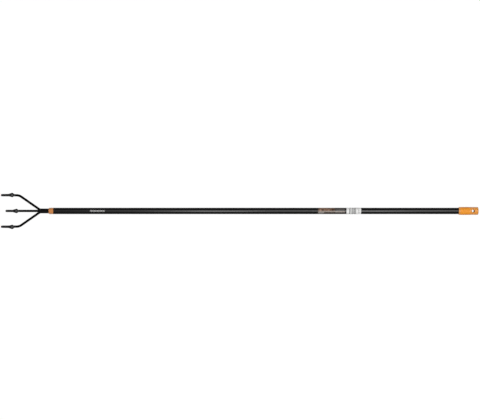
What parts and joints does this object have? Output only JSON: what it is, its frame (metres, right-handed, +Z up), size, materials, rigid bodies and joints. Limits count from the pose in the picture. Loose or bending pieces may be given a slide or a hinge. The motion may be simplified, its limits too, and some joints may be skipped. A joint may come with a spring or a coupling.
{
  "type": "garden cultivator",
  "caption": "Long handled garden cultivator: a claw of bent steel tines with leaf shaped tips on a straight black tube, with an orange collar and an orange end cap with a hang hole.",
  "frame": {"origin": "on the ground, under the middle of the tool, which lies on its back with its claws up", "axes": "+X along the shaft from the tines to the end cap, +Z up, the way the claws point"},
  "size_m": [1.7148, 0.1294, 0.115],
  "materials": {
    "tube_coating": "satin black powder coat",
    "tine_paint": "semi-matt black paint on forged steel",
    "orange_moulding": "satin orange moulding",
    "inner_moulding": "plain grey moulding",
    "dark_film": "printed film sticker",
    "white_paper": "matt white paper sticker"
  },
  "bodies": {
    "root": {"shaft_tube": "tube_coating", "tine_left": "tine_paint", "tine_centre": "tine_paint", "tine_right": "tine_paint", "weld_left": "tine_paint", "weld_right": "tine_paint", "weld_under": "tine_paint", "collar": "orange_moulding", "end_cap": "orange_moulding", "tang_bush": "inner_moulding", "dark_label": "dark_film", "white_label": "white_paper"}
  },
  "joints": []
}
